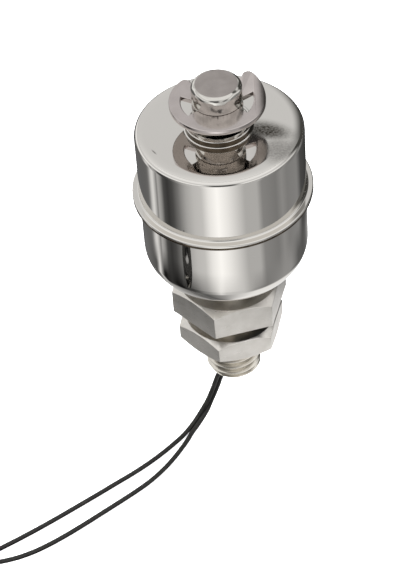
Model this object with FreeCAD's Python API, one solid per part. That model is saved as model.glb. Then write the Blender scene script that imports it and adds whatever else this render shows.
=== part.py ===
import FreeCAD, Part
import math
import os
from FreeCAD import Vector

os.makedirs("parts", exist_ok=True)

# Float level switch with a stainless stem, in millimetres. Z is the stem's axis, with the tip up.
# Z = 0 is the underside of the hex flange, the face that seats on the tank wall.

# Fitting: hex flange and threaded stub
hex_across_flats = 18.4
hex_height = 5.8
hex_turn = 13.2
chamfer_angle = 30.0
chamfer_land = 0.25
thread_d = 10.0
thread_length = 16.7
thread_end_chamfer = 0.9
thread_bore_d = 6.0
socket_depth = 5.0
socket_clearance = 0.05

# Stem tube with its solid tip
stem_d = 8.6
stem_wall = 1.0
stem_top = 50.0
tip_round = 0.9
tip_solid = 5.5
weld_leg = 0.4
weld_throat_share = 0.42
drill_point_slope = 31.0

# Stop clip in its groove
clip_d = 16.2
clip_thickness = 1.0
clip_top = 46.6
clip_turn = 97.0
clip_band = 2.4
clip_opening = 8.0
clip_tooth_width = 3.4
clip_tooth_angle = 118.0
groove_depth = 0.5
groove_clearance = 0.05

# Lock nut
nut_across_flats = 17.0
nut_height = 4.6
nut_turn = 14.2
nut_gap = 3.0
nut_bore_clearance = 0.05
nut_mouth = 0.6

# Float
float_d = 28.8
float_bottom = 10.2
float_height = 31.1
float_wall = 0.5
float_top_round = 2.0
float_bottom_round = 5.1
seam_height = 17.0
seam_lip = 1.2
seam_root_round = 0.4
float_bore_d = 9.5
center_tube_wall = 0.4
neck_height = 0.7
neck_round = 0.3

# Magnet inside the float
magnet_d = 18.0
magnet_height = 6.0
magnet_above_bottom = 12.3
retainer_thickness = 0.4
retainer_sleeve_wall = 0.25
retainer_sleeve_height = 2.6
magnet_bore_clearance = 0.05

# Reed switch inside the stem
reed_center = 31.0
reed_glass_d = 2.0
reed_glass_length = 14.0
reed_glass_wall = 0.25
reed_seal = 1.8
reed_lead_d = 0.6
reed_lead_out = 3.0
reed_bend_out = 2.0
blade_width = 1.1
blade_thickness = 0.2
blade_gap = 0.1
blade_overlap = 2.0
blade_root = 0.4
sleeve_wall = 0.2
sleeve_past_glass = 1.2
splice_d = 1.0
splice_length = 4.6
splice_grip = 2.0
splice_below_bend = 0.6

# Leads
lead_d = 0.9
conductor_d = 0.42
lead_offset = 0.9
potting_recess = 0.5
surface_z = -32.0
tip_length = 4.0

# Storage coil of the leads
coil_center = (-53.0, -41.0)
coil_mid_r = 5.0
coil_columns = 5
coil_layers = 2
tie_thickness = 0.3
tie_width = 1.6
tie_angle = 200.0
tie_side_clearance = 0.15
tie_top_clearance = 0.05
tail_length = 8.0
signal_tail_angle = 300.0
return_tail_angle = 322.0

# Places that follow from the sizes
exit_z = -thread_length + potting_recess
socket_floor = hex_height - socket_depth
stem_r = stem_d / 2
stem_bore_r = stem_r - stem_wall
bore_end = stem_top - tip_solid
bore_cone = stem_bore_r * math.tan(math.radians(drill_point_slope))
groove_r = stem_r - groove_depth
float_r = float_d / 2
float_top = float_bottom + float_height
seam_z = float_bottom + seam_height
tube_r = float_bore_d / 2 + center_tube_wall
lead_r = lead_d / 2
lead_on_surface = surface_z + lead_r
return_splice_top = reed_center + reed_glass_length / 2 + reed_bend_out - splice_below_bend
coil_base = surface_z + tie_thickness
coil_half_width = coil_columns * lead_r
coil_height = coil_layers * lead_d


def quarter(center, radius, start, end):
    """Middle and end of a round corner, as (r, z) values for turned()."""
    places = []
    for angle in ((start + end) / 2, end):
        a = math.radians(angle)
        places += [center[0] + radius * math.cos(a), center[1] + radius * math.sin(a)]
    return tuple(places)


def turned(start, *moves):
    """Solid of revolution about Z. A move is an end (r, z), or an arc's middle and end."""
    edges = []
    here = Vector(start[0], 0, start[1])
    for move in moves + (start,):
        end = Vector(move[-2], 0, move[-1])
        if here.isEqual(end, 1e-7):
            continue
        if len(move) == 4:
            edges.append(Part.Arc(here, Vector(move[0], 0, move[1]), end).toShape())
        else:
            edges.append(Part.LineSegment(here, end).toShape())
        here = end
    face = Part.Face(Part.Wire(edges))
    return face.revolve(Vector(0, 0, 0), Vector(0, 0, 1), 360)


def rod(diameter, bottom, top, x=0.0, y=0.0):
    return Part.makeCylinder(diameter / 2, top - bottom, Vector(x, y, bottom))


def washer(outer_r, inner_r, bottom, top):
    return turned((inner_r, bottom), (outer_r, bottom), (outer_r, top), (inner_r, top))


def hexagon(across_flats, bottom, top, turn, chamfered):
    """Hex prism whose corners are turned to a cone at the chamfered ends, "top" or "bottom"."""
    corner_r = across_flats / 2 / math.cos(math.pi / 6)
    corners = []
    for k in range(7):
        a = math.radians(turn + 60 * k)
        corners.append(Vector(corner_r * math.cos(a), corner_r * math.sin(a), bottom))
    prism = Part.Face(Part.makePolygon(corners)).extrude(Vector(0, 0, top - bottom))
    land_r = across_flats / 2 - chamfer_land
    rim_r = corner_r + 1
    drop = (rim_r - land_r) * math.tan(math.radians(chamfer_angle))
    if "bottom" in chamfered:
        lower = [(land_r, bottom), (rim_r, bottom + drop)]
    else:
        lower = [(rim_r, bottom)]
    if "top" in chamfered:
        upper = [(rim_r, top - drop), (land_r, top)]
    else:
        upper = [(rim_r, top)]
    return prism.common(turned((0, bottom), *lower, *upper, (0, top)))


def hex_fitting():
    """Hex flange and threaded stub, bored through, with a socket for the stem tube."""
    flange = hexagon(hex_across_flats, 0, hex_height, hex_turn, ["top"])
    r = thread_d / 2
    stub = turned(
        (0, -thread_length),
        (r - thread_end_chamfer, -thread_length),
        (r, -thread_length + thread_end_chamfer),
        (r, hex_height / 2),
        (0, hex_height / 2),
    )
    socket = rod(stem_d + 2 * socket_clearance, socket_floor, hex_height)
    return flange.fuse(stub).cut(rod(thread_bore_d, -thread_length, hex_height)).cut(socket).removeSplitter()


def stem_tube():
    """Drawn tube with a solid tip, a clip groove below the tip and a blind bore."""
    groove_top = clip_top + groove_clearance
    groove_bottom = clip_top - clip_thickness - groove_clearance
    round_center = (stem_r - tip_round, stem_top - tip_round)
    return turned(
        (stem_bore_r, socket_floor),
        (stem_r, socket_floor),
        (stem_r, groove_bottom),
        (groove_r, groove_bottom),
        (groove_r, groove_top),
        (stem_r, groove_top),
        (stem_r, stem_top - tip_round),
        quarter(round_center, tip_round, 0, 90),
        (0, stem_top),
        (0, bore_end),
        (stem_bore_r, bore_end - bore_cone),
    )


def stem_weld():
    """Small weld bead between the stem tube and the top of the hex."""
    middle = weld_leg * weld_throat_share
    return turned(
        (stem_r, hex_height),
        (stem_r + weld_leg, hex_height),
        (stem_r + middle, hex_height + middle, stem_r, hex_height + weld_leg),
    )


def upper_stop_clip():
    """Stamped E-clip: a ring with one opening, and three inner teeth that reach past the groove's middle."""
    bottom = clip_top - clip_thickness
    ring_inner_r = clip_d / 2 - clip_band
    clip = washer(clip_d / 2, ring_inner_r, bottom, clip_top)
    mouth = Part.makeBox(clip_d, clip_opening, clip_thickness, Vector(-clip_d, -clip_opening / 2, bottom))
    clip = clip.cut(mouth)
    for angle in (0, clip_tooth_angle, -clip_tooth_angle):
        corner = Vector(0, -clip_tooth_width / 2, bottom)
        tooth = Part.makeBox(clip_d / 2 - clip_band / 2, clip_tooth_width, clip_thickness, corner)
        tooth.rotate(Vector(0, 0, 0), Vector(0, 0, 1), angle)
        clip = clip.fuse(tooth)
    clip = clip.cut(rod(2 * (groove_r + groove_clearance), bottom, clip_top)).removeSplitter()
    corners = []
    for edge in clip.Edges:
        at = edge.CenterOfMass
        upright = abs(edge.BoundBox.ZLength - clip_thickness) < 1e-6 and edge.BoundBox.XLength < 1e-6
        if upright and at.x < 0 and abs(math.hypot(at.x, at.y) - clip_d / 2) < 1e-3:
            corners.append(edge)
    clip = clip.makeFillet(clip_band / 2, corners)
    clip.rotate(Vector(0, 0, 0), Vector(0, 0, 1), clip_turn - 180)
    return clip


def lock_nut():
    """Thin hex nut, chamfered on both sides and at both mouths of its bore."""
    top = -nut_gap
    bottom = top - nut_height
    bore_r = thread_d / 2 + nut_bore_clearance
    bore = turned(
        (0, bottom),
        (bore_r + nut_mouth, bottom),
        (bore_r, bottom + nut_mouth),
        (bore_r, top - nut_mouth),
        (bore_r + nut_mouth, top),
        (0, top),
    )
    return hexagon(nut_across_flats, bottom, top, nut_turn, ["top", "bottom"]).cut(bore)


def float_shell(end_z, corner_round, up):
    """Drawn half of the float: a cup with a neck round its bore and a lip at the seam."""
    s = 1 if up else -1
    wall = float_wall
    inner_round = corner_round - wall
    lip_r = float_r + seam_lip
    edge_round = wall / 3
    corner = (float_r - corner_round, end_z - s * corner_round)
    neck_r = tube_r + wall
    neck_corner = (neck_r + neck_round, end_z + s * neck_round)
    root_corner = (float_r + seam_root_round, seam_z + s * (wall + seam_root_round))
    edge_corner = (lip_r - edge_round, seam_z + s * (wall - edge_round))
    return turned(
        (tube_r, end_z - s * wall),
        (tube_r, end_z + s * neck_height),
        (neck_r - edge_round, end_z + s * neck_height),
        quarter((neck_r - edge_round, end_z + s * (neck_height - edge_round)), edge_round, s * 90, 0),
        (neck_r, end_z + s * neck_round),
        quarter(neck_corner, neck_round, 180, 180 + s * 90),
        (corner[0], end_z),
        quarter(corner, corner_round, s * 90, 0),
        (float_r, root_corner[1]),
        quarter(root_corner, seam_root_round, 180, 180 + s * 90),
        (edge_corner[0], seam_z + s * wall),
        quarter(edge_corner, edge_round, s * 90, 0),
        (lip_r, seam_z),
        (float_r - wall, seam_z),
        (float_r - wall, corner[1]),
        quarter(corner, inner_round, 0, s * 90),
    )


def float_center_tube():
    """Tube through the float, flush with the rims of both necks."""
    return washer(tube_r, float_bore_d / 2, float_bottom - neck_height, float_top + neck_height)


def magnet_parts():
    """Ring magnet between two sheet retainers whose sleeves grip the centre tube."""
    sleeve_r = tube_r + retainer_sleeve_wall
    bottom = float_bottom + magnet_above_bottom
    top = bottom + magnet_height
    outer_r = magnet_d / 2
    magnet = washer(outer_r, sleeve_r + magnet_bore_clearance, bottom, top)
    retainers = []
    for face, s in ((bottom, 1), (top, -1)):
        retainers.append(
            turned(
                (tube_r, face - s * retainer_thickness),
                (outer_r, face - s * retainer_thickness),
                (outer_r, face),
                (sleeve_r, face),
                (sleeve_r, face + s * retainer_sleeve_height),
                (tube_r, face + s * retainer_sleeve_height),
            )
        )
    return magnet, retainers[0], retainers[1]


def reed_glass():
    """Glass capsule, sealed onto the two reed leads at its ends."""
    half = reed_glass_length / 2
    r = reed_glass_d / 2
    glass = rod(reed_glass_d, reed_center - half, reed_center + half, -lead_offset)
    room = rod(
        2 * (r - reed_glass_wall),
        reed_center - half + reed_seal,
        reed_center + half - reed_seal,
        -lead_offset,
    )
    return glass.cut(room).cut(rod(reed_lead_d, reed_center - half, reed_center + half, -lead_offset))


def reed_blade(s, straight):
    """Round lead outside the glass and a flattened blade inside. s is 1 above and -1 below."""
    seal_z = reed_center + s * (reed_glass_length / 2 - reed_seal)
    blade_end = reed_center - s * blade_overlap / 2
    lead_end = reed_center + s * (reed_glass_length / 2 + straight)
    low, high = sorted((seal_z - s * blade_root, lead_end))
    lead = rod(reed_lead_d, low, high, -lead_offset)
    low, high = sorted((seal_z - s * blade_root / 2, blade_end))
    side = blade_gap / 2 if s > 0 else -blade_gap / 2 - blade_thickness
    corner = Vector(-lead_offset - blade_width / 2, side, low)
    return lead.fuse(Part.makeBox(blade_width, blade_thickness, high - low, corner)).removeSplitter()


def route_arcs(points):
    """Path of straight runs joined by tangent arcs, and the radius of each arc."""
    runs = [(points[k + 1] - points[k]) for k in range(len(points) - 1)]
    edges = []
    radii = []
    here = points[0]
    for k in range(1, len(points) - 1):
        before = Vector(runs[k - 1])
        after = Vector(runs[k])
        turn = before.getAngle(after)
        cut = 0.45 * min(before.Length, after.Length)
        radius = cut / math.tan(turn / 2)
        before.normalize()
        after.normalize()
        start = points[k] - before * cut
        end = points[k] + after * cut
        toward = (after - before).normalize()
        middle = points[k] + toward * (math.hypot(radius, cut) - radius)
        edges.append(Part.LineSegment(here, start).toShape())
        edges.append(Part.Arc(start, middle, end).toShape())
        radii.append(radius)
        here = end
    edges.append(Part.LineSegment(here, points[-1]).toShape())
    return Part.Wire(edges), radii


def tube_along(name, points, diameter):
    """Round solid along a route, with its volume compared with its section times its length."""
    path, radii = route_arcs(points)
    along = points[1] - points[0]
    ring = Part.Wire(Part.makeCircle(diameter / 2, points[0], along))
    solid = path.makePipeShell([ring], True, False)
    expected = math.pi * diameter**2 / 4 * path.Length
    sizes = " ".join(f"{r:.1f}" for r in radii)
    print(f"{name}: length {path.Length:.1f}, volume ratio {solid.Volume / expected:.4f}, radii {sizes}")
    return solid


def upper_reed_lead():
    """The upper reed lead's bend, over the top and down to the return lead's splice."""
    start = reed_center + reed_glass_length / 2 + reed_bend_out
    bend = Part.makeTorus(lead_offset, reed_lead_d / 2, Vector(0, 0, start), Vector(0, 1, 0))
    side = 4 * lead_offset
    upper_half = Part.makeBox(side, side, side, Vector(-side / 2, -side / 2, start))
    bend = bend.common(upper_half)
    down = rod(reed_lead_d, return_splice_top - splice_grip, start, lead_offset)
    return bend.fuse(down)


def inner_lead(x, top):
    """A lead inside the fitting and stem, with its conductor bared for the splice."""
    insulation = rod(lead_d, exit_z, top, x)
    conductor = rod(conductor_d, top, top + splice_grip, x)
    return insulation.fuse(conductor).removeSplitter()


def inner_parts():
    """The reed switch, its splices and leads, and the potting that fills the stem round them."""
    half = reed_glass_length / 2
    parts = {"reed_glass": reed_glass()}
    parts["reed_blade_lower"] = reed_blade(-1, reed_lead_out)
    parts["reed_blade_upper"] = reed_blade(1, reed_bend_out).fuse(upper_reed_lead()).removeSplitter()
    sleeve_r = reed_glass_d / 2
    low = reed_center - half - sleeve_past_glass
    high = reed_center + half + sleeve_past_glass
    sleeve = rod(2 * (sleeve_r + sleeve_wall), low, high, -lead_offset)
    parts["reed_sleeve"] = sleeve.cut(rod(2 * sleeve_r, low, high, -lead_offset))
    lower_splice_top = reed_center - half - reed_lead_out + splice_grip
    signal_top = lower_splice_top - splice_length
    return_top = return_splice_top - splice_length
    parts["inner_lead_signal"] = inner_lead(-lead_offset, signal_top)
    parts["inner_lead_return"] = inner_lead(lead_offset, return_top)
    for name, x, bottom, top, wires in (
        ("splice_signal", -lead_offset, signal_top, lower_splice_top, ("inner_lead_signal", "reed_blade_lower")),
        ("splice_return", lead_offset, return_top, return_splice_top, ("inner_lead_return", "reed_blade_upper")),
    ):
        ferrule = rod(splice_d, bottom, top, x)
        for wire in wires:
            ferrule = ferrule.cut(parts[wire])
        parts[name] = ferrule
    fill = turned(
        (0, exit_z),
        (thread_bore_d / 2, exit_z),
        (thread_bore_d / 2, socket_floor),
        (stem_bore_r, socket_floor),
        (stem_bore_r, bore_end - bore_cone),
        (0, bore_end),
    )
    glass_core = rod(reed_glass_d, reed_center - half, reed_center + half, -lead_offset)
    fill = fill.cut(glass_core)
    for name, part in parts.items():
        if name != "reed_glass":
            fill = fill.cut(part)
    parts["potting"] = max(fill.Solids, key=lambda solid: solid.Volume)
    return parts


def coil_solid(base):
    """Closed solid of the outer shape of one lead's coil."""
    low_r = coil_mid_r - coil_half_width
    high_r = coil_mid_r + coil_half_width
    top = base + coil_height
    r = lead_r
    solid = turned(
        (low_r + r, base),
        (high_r - r, base),
        quarter((high_r - r, base + r), r, -90, 0),
        (high_r, top - r),
        quarter((high_r - r, top - r), r, 0, 90),
        (low_r + r, top),
        quarter((low_r + r, top - r), r, 90, 180),
        (low_r, base + r),
        quarter((low_r + r, base + r), r, 180, 270),
    )
    solid.translate(Vector(coil_center[0], coil_center[1], 0))
    return solid


def coil_point(angle, z, r):
    a = math.radians(angle)
    return Vector(coil_center[0] + r * math.cos(a), coil_center[1] + r * math.sin(a), z)


def coil_tie():
    """Flat band round both coils at one place."""
    half = coil_half_width + tie_side_clearance
    height = 2 * coil_height + tie_top_clearance
    t = tie_thickness
    corner = Vector(coil_mid_r - half - t, -tie_width / 2, surface_z)
    outside = Part.makeBox(2 * (half + t), tie_width, height + 2 * t, corner)
    corner = Vector(coil_mid_r - half, -tie_width / 2, coil_base)
    band = outside.cut(Part.makeBox(2 * half, tie_width, height, corner))
    band.rotate(Vector(0, 0, 0), Vector(0, 0, 1), tie_angle)
    band.translate(Vector(coil_center[0], coil_center[1], 0))
    return band


# Routes of the two leads, chosen by hand: out of the potting, down to the surface and along it.
floor = lead_on_surface
signal_route = [
    Vector(-lead_offset, 0, exit_z),
    Vector(-1.4, 0.3, -19.0),
    Vector(-3.2, 0.9, -22.2),
    Vector(-4.9, 1.3, -26.0),
    Vector(-6.6, 0.7, -29.3),
    Vector(-9.3, -1.6, -31.4),
    Vector(-12.4, -5.9, floor),
    Vector(-17.2, -11.0, floor),
    Vector(-23.4, -15.8, floor),
    Vector(-30.2, -20.3, floor),
    Vector(-38.4, -25.3, floor),
    Vector(-47.2, -30.3, floor),
    Vector(-53.4, -34.2, coil_base + lead_r),
]
return_route = [
    Vector(lead_offset, 0, exit_z),
    Vector(0.1, 0.3, -19.2),
    Vector(-1.9, 0.8, -22.7),
    Vector(-3.8, 1.0, -26.6),
    Vector(-5.6, 0.1, -29.7),
    Vector(-7.7, -2.6, -31.3),
    Vector(-10.0, -6.9, floor),
    Vector(-14.1, -12.4, floor),
    Vector(-19.7, -17.7, floor),
    Vector(-26.5, -22.9, floor),
    Vector(-33.6, -27.6, floor),
    Vector(-40.6, -31.6, floor + 0.4),
    Vector(-46.9, -34.0, coil_base + coil_height + lead_r),
    Vector(-53.4, -34.2, coil_base + coil_height + lead_r),
]


def tail_route(angle, z):
    """The last stretch of a lead, leaving its coil along the outermost turn."""
    start = coil_point(angle, z, coil_mid_r + coil_half_width - lead_r)
    a = math.radians(angle + 90)
    away = Vector(math.cos(a), math.sin(a), 0)
    return start, start + away * tail_length, away


def lead_parts():
    parts = {}
    for name, route, base, angle in (
        ("signal", signal_route, coil_base, signal_tail_angle),
        ("return", return_route, coil_base + coil_height, return_tail_angle),
    ):
        parts[f"lead_run_{name}"] = tube_along(f"lead_run_{name}", route, lead_d)
        parts[f"lead_coil_{name}"] = coil_solid(base)
        start, end, away = tail_route(angle, base + coil_height - lead_r)
        parts[f"lead_tail_{name}"] = Part.makeCylinder(lead_r, tail_length, start, away)
        parts[f"lead_tip_{name}"] = Part.makeCylinder(conductor_d / 2, tip_length, end, away)
    parts["coil_tie"] = coil_tie()
    return parts


magnet, lower_retainer, upper_retainer = magnet_parts()
nodes = {
    "hex_fitting": hex_fitting(),
    "stem_tube": stem_tube(),
    "stem_weld": stem_weld(),
    "upper_stop_clip": upper_stop_clip(),
    "lock_nut": lock_nut(),
    "float_upper_shell": float_shell(float_top, float_top_round, True),
    "float_lower_shell": float_shell(float_bottom, float_bottom_round, False),
    "float_center_tube": float_center_tube(),
    "ring_magnet": magnet,
    "magnet_retainer_lower": lower_retainer,
    "magnet_retainer_upper": upper_retainer,
    **inner_parts(),
    **lead_parts(),
}

for node, shape in nodes.items():
    if len(shape.Solids) != 1 or not shape.isValid():
        print(f"check {node}: {len(shape.Solids)} solids, valid {shape.isValid()}")
    shape.exportStep(f"parts/{node}.step")
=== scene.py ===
import math

import bmesh
import bpy
from mathutils import Matrix, Vector


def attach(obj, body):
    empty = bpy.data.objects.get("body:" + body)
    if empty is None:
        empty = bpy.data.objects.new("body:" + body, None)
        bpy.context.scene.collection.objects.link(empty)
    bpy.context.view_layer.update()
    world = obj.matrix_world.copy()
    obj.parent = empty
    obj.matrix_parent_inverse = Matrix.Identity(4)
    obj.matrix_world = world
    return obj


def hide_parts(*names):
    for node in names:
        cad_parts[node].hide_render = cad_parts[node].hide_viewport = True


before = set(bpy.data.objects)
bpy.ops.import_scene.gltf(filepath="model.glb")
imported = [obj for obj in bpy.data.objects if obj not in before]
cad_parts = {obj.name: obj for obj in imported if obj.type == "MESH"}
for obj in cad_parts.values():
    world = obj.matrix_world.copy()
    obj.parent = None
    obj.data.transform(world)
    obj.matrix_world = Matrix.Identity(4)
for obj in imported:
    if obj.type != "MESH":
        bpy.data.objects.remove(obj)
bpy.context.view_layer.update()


# ---- Camera ----
# It stands in front of the switch and looks down at it by about 43 degrees. The lens is long, and
# the camera is rolled a little, so that the stem leans as it does on the bench.

camera_place = Vector((0, -0.277585, 0.277744))
pan, tilt, roll = -0.0189, 0.7788, -0.0789
picture_height, focal_length = 570, 2172.74
sensor = 36.0

forward = Vector((math.sin(pan) * math.cos(tilt), math.cos(pan) * math.cos(tilt), -math.sin(tilt)))
level_right = Vector((math.cos(pan), -math.sin(pan), 0))
level_up = level_right.cross(forward)
right = math.cos(roll) * level_right + math.sin(roll) * level_up
up = -math.sin(roll) * level_right + math.cos(roll) * level_up

lens = bpy.data.cameras.new("studio_camera")
lens.sensor_fit = "VERTICAL"
lens.sensor_height = sensor
lens.lens = focal_length * sensor / picture_height
lens.clip_start, lens.clip_end = 0.01, 20
camera = bpy.data.objects.new("studio_camera", lens)
turn = Matrix((right, up, -forward)).transposed()
camera.matrix_world = Matrix.Translation(camera_place) @ turn.to_4x4()
bpy.context.scene.collection.objects.link(camera)
bpy.context.scene.camera = camera
bpy.context.scene.view_settings.view_transform = "Standard"


# ---- The two leads ----
# Thin hook-up wire: black PVC drawn over tinned copper strands. The leads come out of the potting,
# drop to the bench and run off as a loose pair. Their spare length is wound in one small coil.

lead_d = 0.0009
signal_lead_length, return_lead_length = 0.345, 0.351
bench = -0.032
wire_z = bench + lead_d / 2
tie_thickness = 0.0003
coil_center = Vector((-0.053, -0.041, 0))
outer_turn_r, inner_turn_r = 0.0068, 0.0032
inward_end, outward_shift = 1740, 95
step_start, step_sweep = 300, 60
points_per_turn = 16
end_length, tip_length = 0.0006, 0.004


def linear(code):
    """Linear RGBA of an sRGB hex colour."""
    parts = [int(code[k : k + 2], 16) / 255 for k in (1, 3, 5)]
    return tuple(c / 12.92 if c <= 0.04045 else ((c + 0.055) / 1.055) ** 2.4 for c in parts) + (1.0,)


def add_node(tree, kind, settings=None, links=None):
    """Add a node. Settings are its properties or its inputs' values, links are what feeds its inputs."""
    node = tree.nodes.new(kind)
    for name, value in (settings or {}).items():
        if isinstance(name, int) or name in node.inputs:
            node.inputs[name].default_value = value
        else:
            setattr(node, name, value)
    for name, source in (links or {}).items():
        tree.links.new(source, node.inputs[name])
    return node


def start_finish(name, color, metallic, roughness):
    """New material: its tree, its shader and the object coordinates of the piece that carries it."""
    finish = bpy.data.materials.new(name)
    finish.use_nodes = True
    tree = finish.node_tree
    tree.nodes.clear()
    shader = add_node(
        tree,
        "ShaderNodeBsdfPrincipled",
        {"Base Color": linear(color), "Metallic": metallic, "Roughness": roughness},
    )
    add_node(tree, "ShaderNodeOutputMaterial", links={"Surface": shader.outputs["BSDF"]})
    place = add_node(tree, "ShaderNodeTexCoord").outputs["Object"]
    return finish, tree, shader, place


def drive(shader, shade=None, gloss=None, relief=None):
    """Let a finish's colour ramp, gloss range and bump drive its shader, whichever of them it has."""
    links = shader.id_data.links
    if shade:
        links.new(shade.outputs["Color"], shader.inputs["Base Color"])
    if gloss:
        links.new(gloss.outputs["Result"], shader.inputs["Roughness"])
    if relief:
        links.new(relief.outputs["Normal"], shader.inputs["Normal"])


def cells(size):
    """Noise scale for grains or marks of this size in millimetres."""
    return 1000 / size


def rows(spacing):
    """Wave scale for rows this many millimetres apart. A wave runs 20 radians to the unit."""
    return cells(spacing) * math.pi / 10


def set_ramp(node, stops):
    """Fill a colour ramp with (position, grey or hex colour) stops."""
    ramp = node.color_ramp
    while len(ramp.elements) < len(stops):
        ramp.elements.new(0.5)
    for element, (at, color) in zip(ramp.elements, stops):
        element.position = at
        element.color = linear(color) if isinstance(color, str) else (color, color, color, 1)


# Extruded PVC: almost black, with a dull shine that hand dust and fine die lines break up
insulation, tree, shader, place = start_finish("extruded_black_pvc", "#181716", 0.0, 0.5)
dust = add_node(tree, "ShaderNodeTexNoise", {"Scale": cells(1.11), "Detail": 4.0}, {"Vector": place})
shade = add_node(tree, "ShaderNodeValToRGB", links={"Fac": dust.outputs["Fac"]})
set_ramp(shade, [(0.35, "#131211"), (0.6, "#1c1b19"), (0.75, "#2b2926")])
gloss = add_node(
    tree, "ShaderNodeMapRange", {"To Min": 0.42, "To Max": 0.62}, {"Value": dust.outputs["Fac"]}
)
skin = add_node(tree, "ShaderNodeTexNoise", {"Scale": cells(0.192), "Detail": 2.0}, {"Vector": place})
relief = add_node(
    tree, "ShaderNodeBump", {"Strength": 0.25, "Distance": 0.00002}, {"Height": skin.outputs["Fac"]}
)
drive(shader, shade=shade, gloss=gloss, relief=relief)

# Tinned copper: soft silver, uneven where the solder wetted the strands
tinned, tree, shader, place = start_finish("tinned_copper", "#c9c6bf", 1.0, 0.3)
wetting = add_node(tree, "ShaderNodeTexNoise", {"Scale": cells(0.4), "Detail": 3.0}, {"Vector": place})
gloss = add_node(
    tree, "ShaderNodeMapRange", {"To Min": 0.18, "To Max": 0.45}, {"Value": wetting.outputs["Fac"]}
)
relief = add_node(
    tree, "ShaderNodeBump", {"Strength": 0.4, "Distance": 0.00003}, {"Height": wetting.outputs["Fac"]}
)
drive(shader, gloss=gloss, relief=relief)


def ease(share):
    """Smooth step from 0 to 1, for a share that is first kept between them."""
    share = min(max(share, 0), 1)
    return share * share * (3 - 2 * share)


def coil_place(turned, join_angle, base):
    """Where the lead is after that many degrees in its coil: five turns in, then five out above them."""
    if turned <= inward_end:
        steps = min(turned // 360 + ease((turned % 360 - step_start) / step_sweep), 4)
        r = outer_turn_r - lead_d * steps
    else:
        after = turned - inward_end + outward_shift
        r = inner_turn_r + lead_d * (after // 360 + ease((after % 360 - step_start) / step_sweep))
    z = base + lead_d / 2 + lead_d * ease((turned - inward_end + step_sweep) / step_sweep)
    r /= math.cos(math.pi / points_per_turn)
    a = math.radians(join_angle + turned)
    return coil_center + Vector((r * math.cos(a), r * math.sin(a), z))


def lay_lead(name, route, base, turned_in_coil):
    """One lead as a smooth spline: its route, its coil and its end. Gives the end's place and way too."""
    join = Vector(route[-1]) - coil_center
    join_angle = math.degrees(math.atan2(join.y, join.x))
    points = [Vector(p) for p in route]
    step = 360 / points_per_turn
    whole = int(turned_in_coil // step)
    points += [coil_place(step * k, join_angle, base) for k in range(1, whole)]
    leave = math.radians(join_angle + turned_in_coil)
    away = Vector((-math.sin(leave), math.cos(leave), 0))
    off = coil_center + outer_turn_r * Vector((math.cos(leave), math.sin(leave), 0))
    off.z = base + 1.5 * lead_d
    points += [off + away * distance for distance in (0, end_length / 2, end_length)]
    curve = bpy.data.curves.new(name, "CURVE")
    curve.dimensions = "3D"
    spline = curve.splines.new("NURBS")
    spline.points.add(len(points) - 1)
    for point, co in zip(spline.points, points):
        point.co = (*co, 1)
    spline.order_u = 3
    spline.use_endpoint_u = True
    spline.resolution_u = 8
    curve.bevel_depth = lead_d / 2
    curve.bevel_resolution = 4
    curve.use_fill_caps = True
    curve.materials.append(insulation)
    lead = bpy.data.objects.new(name, curve)
    bpy.context.scene.collection.objects.link(lead)
    return lead, points[-1], away


signal_route = [
    (-0.0009, 0, -0.0162),
    (-0.0014, 0, -0.0172),
    (-0.0029, -0.0002, -0.0191),
    (-0.0035, -0.0001, -0.0208),
    (-0.0044, 0.0002, -0.0241),
    (-0.0055, 0.0001, -0.0271),
    (-0.0066, -0.0002, -0.0292),
    (-0.0078, -0.0010, -0.0307),
    (-0.0086, -0.0019, -0.0313),
    (-0.0104, -0.0043, wire_z),
    (-0.0125, -0.0065, wire_z),
    (-0.0151, -0.0090, wire_z),
    (-0.0176, -0.0111, wire_z),
    (-0.0204, -0.0132, wire_z),
    (-0.0231, -0.0150, wire_z),
    (-0.0280, -0.0184, wire_z),
    (-0.0384, -0.0253, wire_z),
    (-0.0472, -0.0303, wire_z),
    (-0.0534, -0.0342, bench + tie_thickness + lead_d / 2),
]
return_route = [
    (0.0009, 0, -0.0162),
    (0.0001, 0, -0.0171),
    (-0.0021, 0.0002, -0.0193),
    (-0.0027, 0.0003, -0.0210),
    (-0.0036, 0.0006, -0.0243),
    (-0.0048, 0.0005, -0.0275),
    (-0.0058, -0.0003, -0.0296),
    (-0.0071, -0.0016, -0.0307),
    (-0.0079, -0.0025, -0.0313),
    (-0.0089, -0.0038, wire_z),
    (-0.0098, -0.0057, wire_z),
    (-0.0109, -0.0075, wire_z),
    (-0.0123, -0.0097, wire_z),
    (-0.0141, -0.0121, wire_z),
    (-0.0160, -0.0142, wire_z),
    (-0.0178, -0.0159, wire_z),
    (-0.0198, -0.0175, wire_z),
    (-0.0222, -0.0193, wire_z),
    (-0.0336, -0.0276, wire_z),
    (-0.0406, -0.0316, wire_z + 0.0004),
    (-0.0469, -0.0340, bench + tie_thickness + 2.5 * lead_d),
    (-0.0534, -0.0342, bench + tie_thickness + 2.5 * lead_d),
]


def finish_piece(name, form, finishes, sharp_angle=35):
    """Turn a bmesh into a shaded piece with true flat faces. The piece is at the origin."""
    bmesh.ops.recalc_face_normals(form, faces=form.faces)
    mesh = bpy.data.meshes.new(name)
    form.to_mesh(mesh)
    form.free()
    for finish in finishes:
        mesh.materials.append(finish)
    mesh.shade_smooth()
    mesh.set_sharp_from_angle(angle=math.radians(sharp_angle))
    piece = bpy.data.objects.new(name, mesh)
    bpy.context.scene.collection.objects.link(piece)
    weighting = piece.modifiers.new("flat_faces", "WEIGHTED_NORMAL")
    weighting.keep_sharp = True
    return settle(piece)


def settle(piece):
    """Make what the piece's modifiers give into its plain mesh, and remove them."""
    view = bpy.context.evaluated_depsgraph_get()
    result = bpy.data.meshes.new_from_object(
        piece.evaluated_get(view), preserve_all_data_layers=True, depsgraph=view
    )
    result.name = piece.name
    piece.modifiers.clear()
    piece.data = result
    return piece


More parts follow.
